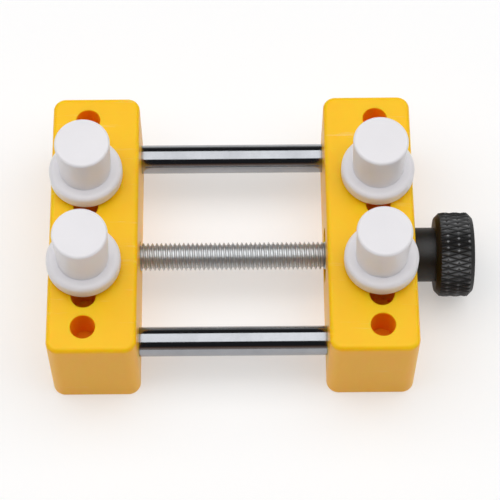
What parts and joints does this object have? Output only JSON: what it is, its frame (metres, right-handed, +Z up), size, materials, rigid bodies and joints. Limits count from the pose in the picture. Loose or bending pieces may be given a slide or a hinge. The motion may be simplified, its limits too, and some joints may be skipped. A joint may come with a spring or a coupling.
{
  "type": "watch movement holder",
  "caption": "Adjustable holder for watch cases and movements: a jaw slides on guide rods, driven by a knurled lead-screw knob, and pegs in the jaws grip the work.",
  "frame": {"origin": "centre of the fixed jaw's underside", "axes": "+X along the lead screw, from the moving jaw to the knob; +Y along the jaws, from the front to the rear; +Z up, out of the tops of the jaws"},
  "size_m": [0.0749, 0.05, 0.0315],
  "materials": {
    "jaw_plastic": "glossy moulded amber-yellow plastic",
    "peg_plastic": "smooth white moulded plastic",
    "polished_rod": "polished, plated",
    "bright_steel": "turned and left bright",
    "spring_steel": "dark oiled spring steel",
    "turned_brass": "turned brass",
    "black_metal": "blackened, knurled grip",
    "black_screw": "black oxide"
  },
  "bodies": {
    "frame": {"fixed_jaw": "jaw_plastic", "screw_bush": "turned_brass", "thrust_washer": "bright_steel", "clip_washer": "bright_steel", "front_guide_rod": "polished_rod", "rear_guide_rod": "polished_rod", "front_rod_screw": "bright_steel", "rear_rod_screw": "bright_steel", "front_stop_screw": "bright_steel", "rear_stop_screw": "bright_steel"},
    "screw": {"lead_screw": "bright_steel", "knob": "black_metal", "knob_set_screw": "black_screw", "retaining_clip": "spring_steel"},
    "jaw": {"moving_jaw": "jaw_plastic", "threaded_insert": "turned_brass"},
    "fixed_jaw_front_peg": {"fixed_jaw_front_peg": "peg_plastic"},
    "fixed_jaw_rear_peg": {"fixed_jaw_rear_peg": "peg_plastic"},
    "moving_jaw_front_peg": {"moving_jaw_front_peg": "peg_plastic"},
    "moving_jaw_rear_peg": {"moving_jaw_rear_peg": "peg_plastic"}
  },
  "joints": [
    {"name": "knob_turn", "type": "hinge", "parent": "frame", "child": "screw", "pos_m": [0, -0.00165, 0.008], "axis": [-1, 0, 0], "range_deg": [-1800, 14760]},
    {"name": "jaw_slide", "type": "slide", "parent": "frame", "child": "jaw", "axis": [1, 0, 0], "range_m": [-0.004, 0.0328]},
    {"name": "fixed_jaw_front_peg_lift", "type": "slide", "parent": "frame", "child": "fixed_jaw_front_peg", "axis": [0, 0, 1], "range_m": [0, 0.0075]},
    {"name": "fixed_jaw_rear_peg_lift", "type": "slide", "parent": "frame", "child": "fixed_jaw_rear_peg", "axis": [0, 0, 1], "range_m": [0, 0.0075]},
    {"name": "moving_jaw_front_peg_lift", "type": "slide", "parent": "jaw", "child": "moving_jaw_front_peg", "axis": [0, 0, 1], "range_m": [0, 0.0075]},
    {"name": "moving_jaw_rear_peg_lift", "type": "slide", "parent": "jaw", "child": "moving_jaw_rear_peg", "axis": [0, 0, 1], "range_m": [0, 0.0075]}
  ],
  "couplings": [
    {"joint": "jaw_slide", "follows": "knob_turn", "m_per_rad": 0.00012732}
  ]
}
